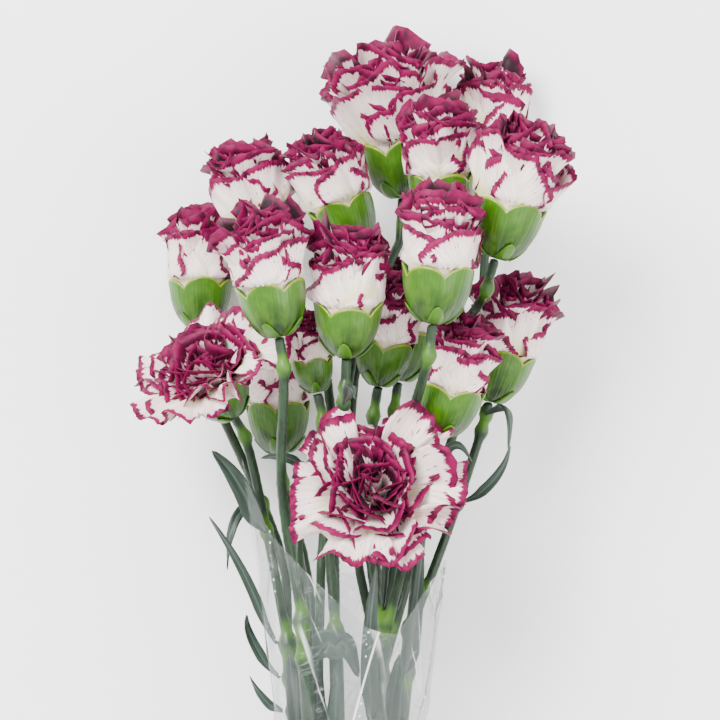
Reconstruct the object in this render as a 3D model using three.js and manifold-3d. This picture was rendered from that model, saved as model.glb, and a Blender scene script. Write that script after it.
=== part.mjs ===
// A bunch of cut spray carnations: seven branching stems with half-open and open flowers, a few
// leaves, a rubber band round the stems and a clear film sleeve. The bunch lies on its back.
// Millimetres. +Y runs from the cut ends to the flowers, +Z is up from the surface it lies on, and
// the origin is on that surface, under the middle of the bunch.
import * as THREE from "three";
import { mergeVertices } from "three/addons/utils/BufferGeometryUtils.js";
import Module from "manifold-3d";

const wasm = await Module();
wasm.setup();

// Flowers
const FLOWER_WIDTH = 22.5; // across the petals of a half-open flower
const FLOWER_HEIGHT = 36; // from the foot of its calyx to the top of its petals
const OPEN_WIDTH = 46; // across the petals of an open flower
const OPEN_HEIGHT = 33;
const PETAL_RUFFLE = 0.05; // how far the petal outline waves, as a share of its radius
const CALYX_WIDTH = 18.4;
const CALYX_HEIGHT = 13.2; // foot to rim, halfway up its lobes
const CALYX_FOOT_WIDTH = 5;
const CALYX_WALL = 1.1;
const FOOT_SEAT = 3.2; // thickness of the calyx under the petals
const CALYX_LOBE = 1.9; // how far the five lobes rise above that rim
const LOBES = 5;

// Stems
const STEM_WIDTH = 4.4;
const STALK_WIDTH = 3.2; // of a side branch that carries one flower
const JOINT_WIDTH = 6.2; // the swollen joint where stalks and leaves grow
const JOINT_LENGTH = 8;
const STALK_JOINT_WIDTH = 4.8; // the small joint under each flower
const STALK_JOINT_BELOW = 8.5; // from the foot of the calyx down to it
const STEM_GAP = 0.75; // between the stems where the band holds them
const STEM_PITCH = STEM_WIDTH + STEM_GAP; // between their centres there
const TAIL_LENGTH = 42; // of the stems below the band
const STRAIGHT_ABOVE_BAND = 14;

// Leaves
const LEAF_THICKNESS = 0.8;
const LEAF_CHANNEL = 0.16; // how deep the blade is folded, as a share of its width
const LEAF_ROOT = 0.5; // width where it leaves the joint, as a share of the leaf's
const LEAF_TIP = 0.14; // width of the blunt tip, the same

// Sleeve and band
const FILM_THICKNESS = 0.5;
const BAND_WALL = 1.6;
const BAND_WIDTH = 4;
const BAND_FROM_FLOWERS = 236; // from the layout's middle down to the band
const SLEEVE_ABOVE_BAND = 14; // from the band to the sleeve's foot
const SLEEVE_FOOT_SLACK = 1.35; // between the foot and the stems that it is round
const SLEEVE_FOOT_RISE = 0.35; // of the foot's centre above the band's

const CLEARANCE = 0.3; // between pieces that touch

// How finely the curved pieces are divided.
const CALYX_SIDES = 3 * LOBES;
const COROLLA_SIDES = 15;
const STEM_SIDES = 8;
const STEM_STEPS = 8;
const STALK_SIDES = 6;
const STALK_STEPS = 10;
const LEAF_STEPS = 6;
const ROUTE_SAMPLES = 120;
const SLEEVE_SIDES = 32;

// The layout below was drawn for flowers this wide, and spreads with them.
const DRAWN_FOR_WIDTH = 22.5;
const SPREAD = Math.max(FLOWER_WIDTH, CALYX_WIDTH + 4) / DRAWN_FOR_WIDTH;
const at = (x, y, z) => new THREE.Vector3(x, y, z).multiplyScalar(SPREAD);

// The band round the stems: one in the middle and six round it.
const BAND_RADIUS = STEM_PITCH + STEM_WIDTH / 2 + CLEARANCE;
const BAND_CENTRE = new THREE.Vector3(0, -BAND_FROM_FLOWERS, BAND_RADIUS + BAND_WALL);

// The sleeve from its foot to its mouth: distance along, centre across, centre height, half width
// and half depth. Its foot fits the banded stems; above that it spreads, more and more, with the
// flowers, and fully from SPREAD_FROM on.
const SPREAD_FROM = -92;
const FOOT_FROM = -BAND_FROM_FLOWERS + SLEEVE_ABOVE_BAND;
const FOOT_RADIUS = BAND_RADIUS + SLEEVE_FOOT_SLACK;
const FOOT_HEIGHT = BAND_CENTRE.z + SLEEVE_FOOT_RISE;
const SLEEVE_ROWS = [
  { y: FOOT_FROM, x: 0, z: FOOT_HEIGHT, wide: FOOT_RADIUS, deep: FOOT_RADIUS },
  { y: -175, x: 0, z: 19, wide: 13.5, deep: 15.5 },
  { y: -130, x: 0, z: 29, wide: 17.5, deep: 22.4 },
  { y: SPREAD_FROM, x: 0.5, z: 38, wide: 22, deep: 29.5 },
  { y: -24, x: 0, z: 47, wide: 31, deep: 38 },
];
const spreadAt = (y) => {
  const share = THREE.MathUtils.clamp((y - FOOT_FROM) / (SPREAD_FROM - FOOT_FROM), 0, 1);
  return 1 + (SPREAD - 1) * share;
};
// The rim round the sleeve: angle from the front in degrees, positive to the right, and distance
// along. It dips to a notch at the front and rises highest beside the slit.
const RIM = [
  [-180, -62],
  [-130, -60],
  [-101.5, -30],
  [-90, -122],
  [-78.5, -25],
  [-62, -42],
  [-50, -48],
  [14, -74],
  [34, -75],
  [60, -60],
  [90, -56],
  [180, -62],
];
const SLIT_FOOT = -126; // the sleeve is whole below this

const COLOURS = {
  petal: 0xe9d3dc,
  calyx: 0x6fa51f,
  stem: 0x3f6d45,
  leaf: 0x4f7263,
  film: 0xdfe6e4,
  band: 0xb98a54,
};
const ROUGHNESS = { film: 0.12, calyx: 0.45 };

// Each flower: the foot of its calyx, how far it leans right and nods up, both in degrees from +Y,
// whether it is open, and its size against the full one.
const FLOWERS = {
  flower_1: { foot: at(15, 47, 21), lean: -8, nod: 8, open: false, size: 1.13, wide: 1.25, tall: 1.16 },
  flower_2: { foot: at(40.5, 51, 9.9), lean: 3, nod: 1, open: false, size: 1, wide: 1, tall: 1 },
  flower_3: { foot: at(27, 37, 49), lean: -5, nod: 6, open: false, size: 1.02, wide: 1, tall: 1 },
  flower_4: { foot: at(40, 28, 65), lean: 15, nod: 6, open: false, size: 1.08, wide: 1.1, tall: 1 },
  flower_5: { foot: at(2, 31, 40), lean: -20, nod: 4, open: false, size: 0.98, wide: 1, tall: 1 },
  flower_6: { foot: at(-20.5, 30, 31), lean: -20, nod: 7, open: false, size: 0.95, wide: 1.1, tall: 1 },
  flower_7: { foot: at(-43.5, 9, 9.7), lean: 0, nod: 1, open: false, size: 0.98, wide: 1, tall: 1 },
  flower_8: { foot: at(-19, 6.5, 79), lean: -9, nod: 8, open: false, size: 1.0, wide: 1, tall: 1 },
  flower_9: { foot: at(-0.8, 1, 69), lean: 2, nod: 10, open: false, size: 1.0, wide: 1, tall: 1 },
  flower_10: { foot: at(22.5, 10, 79), lean: 6, nod: 5, open: false, size: 1.04, wide: 1, tall: 1 },
  flower_11: { foot: at(8, -7, 47), lean: 9, nod: 8, open: false, size: 0.9, wide: 1, tall: 1 },
  flower_12: { foot: at(25, -20.5, 56), lean: 15, nod: 10, open: false, size: 0.97, wide: 1, tall: 1 },
  flower_13: { foot: at(39.5, -11.5, 38), lean: 15, nod: 6, open: false, size: 1.0, wide: 1, tall: 1 },
  flower_14: { foot: at(-33, -15, 44), lean: -28, nod: 33, open: true, size: 1.0, wide: 1, tall: 1 },
  flower_15: { foot: at(5.5, -42, 54), lean: 12, nod: 66, open: true, size: 1.06, wide: 1, tall: 1 },
  flower_16: { foot: at(-9, -9, 50), lean: -10, nod: 0, open: false, size: 0.62, wide: 0.9, tall: 1 },
  flower_17: { foot: at(14, -6, 12), lean: 8, nod: 0, open: false, size: 0.98, wide: 1, tall: 1 },
  flower_18: { foot: at(-20, -27, 12), lean: -4, nod: 0, open: false, size: 0.98, wide: 1, tall: 1 },
};

// Each stem: its place among the seven at the band, the joints it passes from the lowest to the
// crown, and the stalks that leave it: the joint each one leaves from and the points it passes on
// its way up to the flower.
const STEMS = {
  stem_1: {
    slot: 0,
    joints: [at(-17.5, -80, 38)],
    stalks: {
      flower_14: { from: 0, via: [at(-23, -50, 40)] },
      flower_7: { from: 0, via: [at(-19, -57, 31)] },
    },
  },
  stem_2: {
    slot: 1,
    joints: [at(-9, -100, 30)],
    stalks: {
      flower_6: { from: 0, via: [at(-8, -55, 32), at(-5, -15, 24), at(-11, 9, 20)] },
      flower_18: { from: 0, via: [at(-12.5, -60, 21)] },
    },
  },
  stem_3: {
    slot: 2,
    joints: [at(-13, -72, 60)],
    stalks: {
      flower_8: { from: 0, via: [at(-18.5, -35, 67)] },
      flower_16: { from: 0, via: [at(-14, -45, 52)] },
    },
  },
  stem_4: {
    slot: 6,
    joints: [at(-4, -76, 48)],
    stalks: {
      flower_9: { from: 0, via: [at(-6, -40, 46)] },
      flower_5: { from: 0, via: [at(-4, -40, 38), at(0, -4, 33)] },
    },
  },
  stem_5: {
    slot: 3,
    joints: [at(9, -80, 56)],
    stalks: {
      flower_10: { from: 0, via: [at(17, -45, 46), at(16, -22, 56)] },
      flower_15: { from: 0, via: [] },
    },
  },
  stem_6: {
    slot: 4,
    joints: [at(17, -76, 42)],
    stalks: {
      flower_4: { from: 0, via: [at(21, -35, 38), at(22, -3, 39), at(32, 10, 41)] },
      flower_12: { from: 0, via: [] },
      flower_13: { from: 0, via: [at(28, -47, 40)] },
    },
  },
  stem_7: {
    slot: 5,
    joints: [at(9, -90, 28)],
    stalks: {
      flower_1: { from: 0, via: [at(0, -40, 26), at(3, 5, 28), at(11, 28, 25)] },
      flower_3: { from: 0, via: [at(15, -40, 28), at(22, 0, 30)] },
      flower_2: { from: 0, via: [at(22, -45, 22), at(36, 0, 10)] },
      flower_17: { from: 0, via: [] },
      flower_11: { from: 0, via: [at(7, -45, 34)] },
    },
  },
};

// Each leaf: the stem or flower stalk it grows on and how far along the bunch, its tip, the point
// its arch is pulled towards, and its width.
const LEAVES = {
  leaf_1: { on: "flower_14", along: -48, tip: at(-37.5, -26, 52), arch: at(-28, -36, 48), width: 6 },
  leaf_2: { on: "stem_1", along: -79, tip: at(-38.5, -45, 45), arch: at(-28, -60, 39), width: 3 },
  leaf_3: { on: "flower_7", along: -41, tip: at(-34.5, -58, 36), arch: at(-34, -41, 36), width: 3 },
  leaf_4: { on: "stem_1", along: -90, tip: at(-29, -72, 42), arch: at(-30, -78, 34), width: 2.8 },
  leaf_5: { on: "stem_1", along: -100, tip: at(-28, -90, 35), arch: at(-24, -98, 33), width: 2.4 },
  leaf_6: { on: "flower_13", along: -15, tip: at(44, -24, 56), arch: at(46, -8, 54), width: 2.6 },
  leaf_7: { on: "flower_13", along: -40, tip: at(44.5, -24.5, 51), arch: at(42, -34, 50), width: 2.8 },
  leaf_8: { on: "flower_12", along: -30, tip: at(33, -27, 70), arch: at(29, -18, 68), width: 2.4 },
  leaf_9: { on: "flower_1", along: 24, tip: at(3, 38, 27), arch: at(4, 28, 29), width: 3 },
  leaf_10: { on: "flower_1", along: 16, tip: at(2, 33, 20), arch: at(1, 22, 23), width: 2.8 },
  leaf_11: { on: "flower_16", along: -30, tip: at(-24, -27, 56), arch: at(-18, -25, 60), width: 2.6 },
  leaf_12: { on: "flower_9", along: -12, tip: at(1.5, -10, 80), arch: at(1, -3, 80), width: 3.4 },
  leaf_13: { on: "stem_3", along: -82, tip: at(2, -86, 60), arch: at(-4, -70, 66), width: 6 },
  leaf_14: { on: "stem_6", along: -88, tip: at(20, -52, 54), arch: at(18, -76, 52), width: 4.5 },
  leaf_15: { on: "stem_5", along: -100, tip: at(7, -58, 67), arch: at(4, -84, 66), width: 5 },
};

const flat = (v) => [v.x, v.y, v.z];

// The direction a flower points.
function axisOf({ lean, nod }) {
  const l = THREE.MathUtils.degToRad(lean);
  const n = THREE.MathUtils.degToRad(nod);
  return new THREE.Vector3(Math.sin(l) * Math.cos(n), Math.cos(l) * Math.cos(n), Math.sin(n));
}

// Turns a lathe's points by angle: change(angle, point) moves each vertex.
function shaped(geometry, change) {
  const position = geometry.getAttribute("position");
  const point = new THREE.Vector3();
  for (let i = 0; i < position.count; i++) {
    point.fromBufferAttribute(position, i);
    change(Math.atan2(point.x, point.z), point);
    position.setXYZ(i, ...flat(point));
  }
  geometry.computeVertexNormals();
  return geometry;
}

// Calyx: a goblet whose rim rises in five lobes.
function calyx(size) {
  const outer = (CALYX_WIDTH / 2) * size;
  const foot = (CALYX_FOOT_WIDTH / 2) * size;
  const height = CALYX_HEIGHT * size;
  const inner = outer - CALYX_WALL;
  const seat = FOOT_SEAT * size;
  const profile = [
    [0, 0],
    [foot, 0],
    [foot + 0.62 * (outer - foot), height * 0.22],
    [foot + 0.92 * (outer - foot), height * 0.52],
    [outer, height],
    [inner, height],
    [foot + 0.8 * (inner - foot), height * 0.5],
    [0, seat],
  ].map(([x, y]) => new THREE.Vector2(x, y));
  const rim = height * 0.99;
  return shaped(new THREE.LatheGeometry(profile, CALYX_SIDES), (angle, p) => {
    if (p.y > rim) p.y += CALYX_LOBE * size * Math.cos(LOBES * angle);
  });
}

// Petals of one flower as one mass: it fills the calyx and spreads above its rim.
function corolla({ open, size, wide, tall }) {
  const gap = CLEARANCE;
  const foot = (CALYX_FOOT_WIDTH / 2) * size;
  const inner = (CALYX_WIDTH / 2) * size - CALYX_WALL;
  const height = CALYX_HEIGHT * size;
  const seat = FOOT_SEAT * size + gap;
  const neck = height + CALYX_LOBE * size + gap;
  const radius = ((open ? OPEN_WIDTH : FLOWER_WIDTH) / 2) * size * wide;
  const top = (open ? OPEN_HEIGHT : FLOWER_HEIGHT) * size * tall;
  const spread = open
    ? [[0.7 * radius, neck + gap], [radius, neck + 0.4 * (top - neck)], [0.55 * radius, top]]
    : [[0.9 * radius, neck + gap], [radius, neck + 0.7 * (top - neck)], [0.78 * radius, top]];
  const dip = top - 0.12 * (top - neck);
  const profile = [
    [0, seat + gap],
    [foot + 0.8 * (inner - foot) - gap, height * 0.5 + gap],
    [inner - gap, neck],
    ...spread,
    [0, dip],
  ].map(([x, y]) => new THREE.Vector2(x, y));
  return shaped(new THREE.LatheGeometry(profile, COROLLA_SIDES), (angle, p) => {
    if (p.y < neck + gap / 2) return;
    const wave = 1 + PETAL_RUFFLE * (Math.cos(LOBES * angle) - 0.6);
    p.x *= wave;
    p.z *= wave;
  });
}

// A three.js geometry as a manifold-3d solid, and back.
function solid(geometry) {
  const bare = geometry.clone();
  bare.deleteAttribute("normal");
  bare.deleteAttribute("uv");
  const merged = mergeVertices(bare, 1e-3);
  return new wasm.Manifold(
    new wasm.Mesh({
      numProp: 3,
      vertProperties: merged.getAttribute("position").array,
      triVerts: new Uint32Array(merged.index.array),
    }),
  );
}

function geometryOf(manifold) {
  const mesh = manifold.getMesh();
  return new THREE.BufferGeometry()
    .setAttribute("position", new THREE.BufferAttribute(mesh.vertProperties, 3))
    .setIndex(new THREE.BufferAttribute(mesh.triVerts, 1));
}

// A round tube along a curve.
function tube(path, width, sides, steps) {
  const section = new THREE.Shape();
  for (let i = 0; i < sides; i++) {
    const a = (2 * Math.PI * i) / sides;
    const move = i ? "lineTo" : "moveTo";
    section[move]((width / 2) * Math.cos(a), (width / 2) * Math.sin(a));
  }
  section.closePath();
  return solid(new THREE.ExtrudeGeometry(section, { extrudePath: path, steps, bevelEnabled: false }));
}

// A swollen joint: an ellipsoid along a direction.
function joint(centre, direction, width, length) {
  const ball = new THREE.SphereGeometry(width / 2, 8, 4);
  ball.scale(1, length / width, 1);
  ball.applyQuaternion(new THREE.Quaternion().setFromUnitVectors(new THREE.Vector3(0, 1, 0), direction));
  ball.translate(...flat(centre));
  return solid(ball);
}

// Where the band holds a stem.
function slotPlace(slot) {
  if (slot === 6) return BAND_CENTRE.clone();
  const a = THREE.MathUtils.degToRad([210, 270, 150, 90, 30, 330][slot]);
  return BAND_CENTRE.clone().add(new THREE.Vector3(Math.cos(a), 0, Math.sin(a)).multiplyScalar(STEM_PITCH));
}

// The centre line of each stem and each flower's stalk, from the cut end up.
const smooth = (points) => new THREE.CatmullRomCurve3(points, false, "centripetal");
const routes = {};
for (const [name, { slot, joints, stalks }] of Object.entries(STEMS)) {
  const held = slotPlace(slot);
  const end = held.clone().setY(held.y - TAIL_LENGTH);
  const above = held.clone().setY(held.y + STRAIGHT_ABOVE_BAND);
  routes[name] = smooth([end, held, above, ...joints]);
  for (const [flower, { from, via }] of Object.entries(stalks)) {
    const axis = axisOf(FLOWERS[flower]);
    const top = FLOWERS[flower].foot.clone().addScaledVector(axis, -CLEARANCE);
    const small = top.clone().addScaledVector(axis, -STALK_JOINT_BELOW);
    routes[flower] = smooth([joints[from], ...via, small, top]);
  }
}

// The point of a route at a distance along the bunch.
function pointAt(route, along) {
  const near = (a, b) => (Math.abs(a.y - along) < Math.abs(b.y - along) ? a : b);
  return routes[route].getSpacedPoints(ROUTE_SAMPLES).reduce(near);
}

// One stem with its joints and flower stalks, as one grown piece.
function stem(name) {
  const { joints, stalks } = STEMS[name];
  const up = new THREE.Vector3(0, 1, 0);
  let made = tube(routes[name], STEM_WIDTH, STEM_SIDES, STEM_STEPS);
  for (const place of joints) made = made.add(joint(place, up, JOINT_WIDTH, JOINT_LENGTH));
  for (const flower of Object.keys(stalks)) {
    const axis = axisOf(FLOWERS[flower]);
    const small = FLOWERS[flower].foot.clone().addScaledVector(axis, -CLEARANCE - STALK_JOINT_BELOW);
    made = made.add(tube(routes[flower], STALK_WIDTH, STALK_SIDES, STALK_STEPS));
    made = made.add(joint(small, axis, STALK_JOINT_WIDTH, 1.3 * STALK_JOINT_WIDTH));
  }
  for (const { on, along } of Object.values(LEAVES)) {
    if (on !== name && !(on in stalks)) continue;
    const width = on === name ? JOINT_WIDTH : STALK_JOINT_WIDTH;
    made = made.add(joint(pointAt(on, along * SPREAD), up, width, 1.3 * width));
  }
  return geometryOf(made);
}

// A folded blade that tapers to its tip, along an arch from its joint.
function leaf({ on, along, tip, arch, width }) {
  const joint = pointAt(on, along * SPREAD);
  const out = arch.clone().sub(joint).setY(0).normalize();
  const joined = on in STEMS ? JOINT_WIDTH : STALK_JOINT_WIDTH;
  const root = joint.addScaledVector(out, (joined + LEAF_ROOT * width) / 2 + CLEARANCE);
  const line = new THREE.QuadraticBezierCurve3(root, arch, tip);
  const rings = [];
  for (let i = 0; i <= LEAF_STEPS; i++) {
    const t = i / LEAF_STEPS;
    const forward = line.getTangent(t);
    const side = forward.clone().cross(new THREE.Vector3(0, 0, 1)).normalize();
    const up = side.clone().cross(forward);
    const taper = Math.min(1, LEAF_ROOT + 3 * t) * (1 - t ** 2.4);
    const half = (width / 2) * Math.max(LEAF_TIP, taper);
    const rise = 2 * half * LEAF_CHANNEL;
    const skin = LEAF_THICKNESS / 2;
    const section = [
      [-half, rise + skin],
      [0, skin],
      [half, rise + skin],
      [half, rise - skin],
      [0, -skin],
      [-half, rise - skin],
    ];
    const centre = line.getPoint(t);
    const place = ([u, v]) => centre.clone().addScaledVector(side, u).addScaledVector(up, v);
    rings.push(section.map(place));
  }
  return cappedLoft(rings);
}

// Joins six-point rings into a closed blade with both ends capped.
function cappedLoft(rings) {
  const sides = rings[0].length;
  const index = [];
  for (let r = 0; r + 1 < rings.length; r++) {
    for (let i = 0; i < sides; i++) {
      const j = (i + 1) % sides;
      const [a, b, c, d] = [r * sides + i, r * sides + j, (r + 1) * sides + j, (r + 1) * sides + i];
      index.push(a, b, c, a, c, d);
    }
  }
  const cap = [0, 1, 4, 0, 4, 5, 1, 2, 3, 1, 3, 4];
  const last = (rings.length - 1) * sides;
  index.push(...cap.map((_, i) => cap[i - (i % 3) + [0, 2, 1][i % 3]]));
  index.push(...cap.map((i) => last + i));
  return new THREE.BufferGeometry().setFromPoints(rings.flat()).setIndex(index);
}

// Height of the sleeve's rim at an angle round it.
function rimAt(angle) {
  const above = RIM.findIndex(([a]) => a > angle);
  const [a, b] = [RIM[above - 1], RIM[above]];
  return THREE.MathUtils.mapLinear(angle, a[0], b[0], a[1], b[1]);
}

// The sleeve's section at a distance along: between the rows below and above.
function sleeveRow(y) {
  const above = Math.max(1, SLEEVE_ROWS.findIndex((row) => row.y >= y));
  const [a, b] = [SLEEVE_ROWS[above - 1], SLEEVE_ROWS[above]];
  const t = (y - a.y) / (b.y - a.y);
  const mix = (key) => THREE.MathUtils.lerp(a[key], b[key], t);
  return { y, x: mix("x"), z: mix("z"), wide: mix("wide"), deep: mix("deep") };
}

// Film sleeve: an open cone round the stems, slit down its left side, where leaves poke out.
function sleeve() {
  const ring = (along, inset) =>
    Array.from({ length: SLEEVE_SIDES }, (_, i) => {
      const angle = -180 + (360 * i) / SLEEVE_SIDES;
      const a = THREE.MathUtils.degToRad(angle);
      const row = sleeveRow(along(angle));
      const across = (row.wide - inset) * Math.sin(a);
      const up = (row.deep - inset) * Math.cos(a);
      return new THREE.Vector3(row.x + across, row.y, row.z + up).multiplyScalar(spreadAt(row.y));
    });
  const rows = SLEEVE_ROWS.slice(0, 3).map((row) => () => row.y);
  rows.push(() => SLIT_FOOT, rimAt);
  const outer = rows.map((along) => ring(along, 0));
  const inner = rows.map((along) => ring(along, FILM_THICKNESS)).reverse();
  return closedLoft([...outer, ...inner]);
}

// Joins rings of points into a closed ring-shaped surface, the last back to the first.
function closedLoft(rings) {
  const sides = rings[0].length;
  const index = [];
  rings.forEach((_, r) => {
    const next = (r + 1) % rings.length;
    for (let i = 0; i < sides; i++) {
      const j = (i + 1) % sides;
      const [a, b, c, d] = [r * sides + i, r * sides + j, next * sides + j, next * sides + i];
      index.push(a, b, c, a, c, d);
    }
  });
  return new THREE.BufferGeometry().setFromPoints(rings.flat()).setIndex(index);
}

// Rubber band: a flat ring round the stems.
function band() {
  const inner = BAND_RADIUS;
  const half = BAND_WIDTH / 2;
  const profile = [
    [inner, -half],
    [inner + BAND_WALL, -half],
    [inner + BAND_WALL, half],
    [inner, half],
    [inner, -half],
  ].map(([x, y]) => new THREE.Vector2(x, y));
  return new THREE.LatheGeometry(profile, 24).translate(...flat(BAND_CENTRE));
}

function meshOf(name, geometry, colour) {
  const look = { color: COLOURS[colour], roughness: ROUGHNESS[colour] ?? 0.6, metalness: 0 };
  const mesh = new THREE.Mesh(geometry, new THREE.MeshStandardMaterial(look));
  mesh.name = name;
  return mesh;
}

const bunch = new THREE.Group();
for (const [name, flower] of Object.entries(FLOWERS)) {
  const head = new THREE.Group();
  head.add(meshOf(name + "_calyx", calyx(flower.size), "calyx"));
  head.add(meshOf(name + "_petals", corolla(flower), "petal"));
  head.position.copy(flower.foot);
  head.quaternion.setFromUnitVectors(new THREE.Vector3(0, 1, 0), axisOf(flower));
  bunch.add(head);
}
for (const name of Object.keys(STEMS)) bunch.add(meshOf(name, stem(name), "stem"));
for (const [name, plan] of Object.entries(LEAVES)) bunch.add(meshOf(name, leaf(plan), "leaf"));
bunch.add(meshOf("sleeve", sleeve(), "film"));
bunch.add(meshOf("rubber_band", band(), "band"));

// The origin goes on the surface, under the middle of the bunch.
const box = new THREE.Box3().setFromObject(bunch, true);
const middle = box.getCenter(new THREE.Vector3());
bunch.position.set(-middle.x, -middle.y, -box.min.z);

const part = new THREE.Group();
part.add(bunch);
export default part;
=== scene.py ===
"""A sleeved bunch of cut spray carnations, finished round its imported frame."""
import math
from functools import partial

import bmesh
import bpy
import numpy as np
from bpy.props import FloatProperty, FloatVectorProperty, PointerProperty
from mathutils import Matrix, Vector


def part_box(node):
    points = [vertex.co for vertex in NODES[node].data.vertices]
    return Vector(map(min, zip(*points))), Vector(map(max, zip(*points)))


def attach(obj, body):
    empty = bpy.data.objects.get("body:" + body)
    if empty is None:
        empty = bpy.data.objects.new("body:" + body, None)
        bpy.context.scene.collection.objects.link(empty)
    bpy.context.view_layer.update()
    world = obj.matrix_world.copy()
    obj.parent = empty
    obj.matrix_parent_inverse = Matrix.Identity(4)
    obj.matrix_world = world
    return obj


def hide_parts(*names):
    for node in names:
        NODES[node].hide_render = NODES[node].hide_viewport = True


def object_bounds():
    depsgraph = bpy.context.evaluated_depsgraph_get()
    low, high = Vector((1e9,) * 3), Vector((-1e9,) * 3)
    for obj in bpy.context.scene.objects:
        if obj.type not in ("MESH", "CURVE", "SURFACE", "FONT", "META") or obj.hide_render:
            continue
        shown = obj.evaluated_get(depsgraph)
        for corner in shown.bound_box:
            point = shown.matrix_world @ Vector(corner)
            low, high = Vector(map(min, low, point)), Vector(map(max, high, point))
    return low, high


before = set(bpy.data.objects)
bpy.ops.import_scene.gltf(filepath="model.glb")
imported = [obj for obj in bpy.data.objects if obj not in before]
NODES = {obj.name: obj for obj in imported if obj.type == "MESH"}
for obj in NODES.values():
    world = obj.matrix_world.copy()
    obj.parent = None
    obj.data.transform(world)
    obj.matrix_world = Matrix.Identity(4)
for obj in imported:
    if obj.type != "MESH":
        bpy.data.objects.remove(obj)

bl_info = {
    "name": "Sleeved carnation bunch",
    "version": (1, 0, 0),
    "blender": (4, 5, 0),
    "location": "3D View > Sidebar > Carnations",
    "description": "Petals, calyces, stems, leaves, sleeve, band and stage of a carnation bunch",
    "category": "Object",
}

MM = 0.001
CAD_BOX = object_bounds()
FLOWERS = [n[: -len("_petals")] for n in sorted(NODES) if n.endswith("_petals")]
FLOWERS.sort(key=lambda n: int(n.split("_")[1]))
STEMS = sorted(n for n in NODES if n.startswith("stem_"))
LEAVES = sorted(n for n in NODES if n.startswith("leaf_"))
CALYX_TOP = 15.1  # mm from the foot to the lobes' tips on a flower of size 1
CALYX_FOOT = 2.4  # mm, the radius of its foot
CALYX_ROOT = 0.62  # the power by which it widens
SCALE_TALL = 4.6  # mm, the height of the scales that hug its foot
OPEN_FROM = 0.6  # a flower's openness from which it is an open one
EDGE_SHARE = 0.35  # a thin sheet's thickness at its edge, as a share of its middle's
LEAF_GRID = (34, 9)  # points along and across a leaf
TIP_REACH = 0.24  # share of a leaf's last section that its drawn tip adds
FILM_GRID = (352, 132)  # points round and along the film
FILM_ROUND = 190.0  # mm, the way round the film in its UV map
NOISE_SIZE = 256  # random heights each way in a table of noise
JOINT_NEAR, JOINT_CLOSE, JOINT_APART = 3.4, 4.4, 6.0  # mm from a joint: crowding, belonging to it, and past it
JOINT_CROWD = 13  # corners within JOINT_NEAR of each other that make a joint
FLOOR_REACH, FLOOR_LEVEL = 3.0, -0.0002  # m from the middle to the floor's sides, and its height
CAMERA_RISE, CAMERA_LENS, CAMERA_SENSOR = 0.9, 160.7, 36.0  # m above the target, mm and mm
WORLD_LIGHT = 1.9
AIM = (0.528, 0.744, 0.476)  # where the camera looks, as shares of the CAD box
TURN = 2 * math.pi


def linear(code):
    """An sRGB hex colour such as "AB12CD" as linear red, green, blue and 1."""
    parts = [int(code[i:i + 2], 16) / 255 for i in (0, 2, 4)]
    return [p / 12.92 if p <= 0.04045 else ((p + 0.055) / 1.055) ** 2.4 for p in parts] + [1.0]


# ---------------------------------------------------------------- sizes a user would change

class CarnationSizes(bpy.types.PropertyGroup):
    petal_thickness: FloatProperty(
        name="Petal thickness", description="Thickness of a petal in its middle",
        default=0.00022, unit="LENGTH")
    ruffle: FloatProperty(
        name="Ruffle", description="Depth of the folds at a petal's margin, against the usual",
        default=1.0, min=0.0, max=2.0, subtype="FACTOR")
    tooth: FloatProperty(
        name="Tooth depth", description="Depth of the teeth along a petal's margin",
        default=0.0005, unit="LENGTH")
    leaf_thickness: FloatProperty(
        name="Leaf thickness", description="Thickness of a leaf at its midrib",
        default=0.0006, unit="LENGTH")
    stem_voxel: FloatProperty(
        name="Stem grain", description="Voxel size that the stems' skin is grown at",
        default=0.00055, unit="LENGTH")
    film_thickness: FloatProperty(
        name="Film thickness", description="Thickness of the sleeve's film",
        default=0.00012, unit="LENGTH")
    film_crinkle: FloatProperty(
        name="Film crinkle", description="Depth of the film's crinkles",
        default=0.0009, unit="LENGTH")


class CarnationColours(bpy.types.PropertyGroup):
    margin: FloatVectorProperty(
        name="Petal margin", description="Colour of the petals' margin",
        default=linear("74003E")[:3], size=3, subtype="COLOR")
    blade: FloatVectorProperty(
        name="Petal blade", description="Colour of the petals inside their margin",
        default=linear("EDE2D8")[:3], size=3, subtype="COLOR")


# ---------------------------------------------------------------- numbers and meshes

def smoothstep(x):
    """0 below 0, 1 above 1 and 3x^2 - 2x^3 between."""
    x = np.clip(x, 0, 1)
    return x * x * (3 - 2 * x)


def unit(v):
    """Vectors over their lengths, along the last axis."""
    return v / np.maximum(np.linalg.norm(v, axis=-1, keepdims=True), 1e-12)


def cad_points(node):
    """The corners of a CAD node's triangles and its triangles, in millimetres."""
    mesh = bpy.data.objects[node].data
    mesh.calc_loop_triangles()
    points = np.empty(len(mesh.vertices) * 3)
    mesh.vertices.foreach_get("co", points)
    corners = np.empty(len(mesh.loop_triangles) * 3, dtype=int)
    mesh.loop_triangles.foreach_get("vertices", corners)
    return points.reshape(-1, 3) / MM, corners.reshape(-1, 3)


def distinct(points):
    """The different points of a set, to a hundredth of a millimetre."""
    return points[np.unique(np.round(points, 2), axis=0, return_index=True)[1]]


def middle(points, triangles):
    """A surface's centre: its triangles' centres weighted by their areas."""
    a, b, c = (points[triangles[:, k]] for k in range(3))
    area = np.linalg.norm(np.cross(b - a, c - a), axis=1)
    return ((a + b + c) / 3 * area[:, None]).sum(0) / area.sum()


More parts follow.
